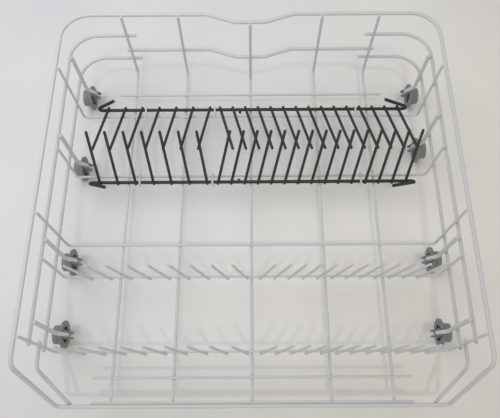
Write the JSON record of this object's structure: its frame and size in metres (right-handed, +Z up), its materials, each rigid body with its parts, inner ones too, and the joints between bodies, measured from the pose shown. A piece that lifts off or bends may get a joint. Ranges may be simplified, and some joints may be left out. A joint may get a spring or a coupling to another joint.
{
  "type": "dishwasher basket",
  "caption": "Lower dishwasher basket of coated wire with a low front, folding plate combs, fixed plate tines and clip-on flanged wheels.",
  "frame": {"origin": "on the ground under the middle of the basket, where the wheel flanges stand", "axes": "+X to the basket's right seen from its low front, +Y to the back wall, +Z up"},
  "size_m": [0.5128, 0.496, 0.1595],
  "materials": {
    "white_coating": "satin white nylon coating on steel wire",
    "dark_coating": "satin dark grey nylon coating on steel wire",
    "wheel_plastic": "moulded slate grey plastic",
    "carrier_plastic": "moulded slate grey plastic"
  },
  "bodies": {
    "basket": {"back_wire": "white_coating", "cross_wire_1": "white_coating", "cross_wire_2": "white_coating", "cross_wire_3": "white_coating", "cross_wire_4": "white_coating", "cross_wire_5": "white_coating", "floor_runner_1": "white_coating", "floor_runner_2": "white_coating", "floor_runner_3": "white_coating", "floor_runner_4": "white_coating", "floor_runner_5": "white_coating", "front_comb_hooks": "white_coating", "front_corner_wire_left": "white_coating", "front_corner_wire_right": "white_coating", "front_floor_wire": "white_coating", "front_lip_wire": "white_coating", "front_tine_row": "white_coating", "middle_tine_row": "white_coating", "rear_comb_hooks": "white_coating", "rear_floor_wire": "white_coating", "rim_wire": "white_coating", "side_low_wire_left": "white_coating", "side_low_wire_right": "white_coating", "side_mid_wire_left": "white_coating", "side_mid_wire_right": "white_coating", "wheel_arm_left_1": "white_coating", "wheel_arm_left_2": "white_coating", "wheel_arm_left_3": "white_coating", "wheel_arm_left_4": "white_coating", "wheel_arm_right_1": "white_coating", "wheel_arm_right_2": "white_coating", "wheel_arm_right_3": "white_coating", "wheel_arm_right_4": "white_coating", "wheel_carrier_left_1": "carrier_plastic", "wheel_carrier_left_2": "carrier_plastic", "wheel_carrier_left_3": "carrier_plastic", "wheel_carrier_left_4": "carrier_plastic", "wheel_carrier_right_1": "carrier_plastic", "wheel_carrier_right_2": "carrier_plastic", "wheel_carrier_right_3": "carrier_plastic", "wheel_carrier_right_4": "carrier_plastic"},
    "rear_comb": {"rear_comb_rail": "dark_coating", "rear_comb_tines": "dark_coating"},
    "front_comb": {"front_comb_rail": "dark_coating", "front_comb_tines": "dark_coating"},
    "wheel_left_1": {"wheel_left_1": "wheel_plastic"},
    "wheel_left_2": {"wheel_left_2": "wheel_plastic"},
    "wheel_left_3": {"wheel_left_3": "wheel_plastic"},
    "wheel_left_4": {"wheel_left_4": "wheel_plastic"},
    "wheel_right_1": {"wheel_right_1": "wheel_plastic"},
    "wheel_right_2": {"wheel_right_2": "wheel_plastic"},
    "wheel_right_3": {"wheel_right_3": "wheel_plastic"},
    "wheel_right_4": {"wheel_right_4": "wheel_plastic"}
  },
  "joints": [
    {"name": "rear_comb_fold", "type": "hinge", "parent": "basket", "child": "rear_comb", "pos_m": [0, 0.1717, 0.0375], "axis": [-1, 0, 0], "range_deg": [0, 83.5]},
    {"name": "front_comb_fold", "type": "hinge", "parent": "basket", "child": "front_comb", "pos_m": [0, 0.0529, 0.0375], "axis": [1, 0, 0], "range_deg": [-27, 48]},
    {"name": "wheel_left_1_roll", "type": "hinge", "parent": "basket", "child": "wheel_left_1", "pos_m": [-0.2494, 0.2067, 0.0182], "axis": [1, 0, 0], "continuous": true},
    {"name": "wheel_left_2_roll", "type": "hinge", "parent": "basket", "child": "wheel_left_2", "pos_m": [-0.2494, 0.0842, 0.0182], "axis": [1, 0, 0], "continuous": true},
    {"name": "wheel_left_3_roll", "type": "hinge", "parent": "basket", "child": "wheel_left_3", "pos_m": [-0.2494, -0.058, 0.0182], "axis": [1, 0, 0], "continuous": true},
    {"name": "wheel_left_4_roll", "type": "hinge", "parent": "basket", "child": "wheel_left_4", "pos_m": [-0.2494, -0.156, 0.0182], "axis": [1, 0, 0], "continuous": true},
    {"name": "wheel_right_1_roll", "type": "hinge", "parent": "basket", "child": "wheel_right_1", "pos_m": [0.2494, 0.2067, 0.0182], "axis": [1, 0, 0], "continuous": true},
    {"name": "wheel_right_2_roll", "type": "hinge", "parent": "basket", "child": "wheel_right_2", "pos_m": [0.2494, 0.1118, 0.0182], "axis": [1, 0, 0], "continuous": true},
    {"name": "wheel_right_3_roll", "type": "hinge", "parent": "basket", "child": "wheel_right_3", "pos_m": [0.2494, -0.058, 0.0182], "axis": [1, 0, 0], "continuous": true},
    {"name": "wheel_right_4_roll", "type": "hinge", "parent": "basket", "child": "wheel_right_4", "pos_m": [0.2494, -0.156, 0.0182], "axis": [1, 0, 0], "continuous": true}
  ]
}
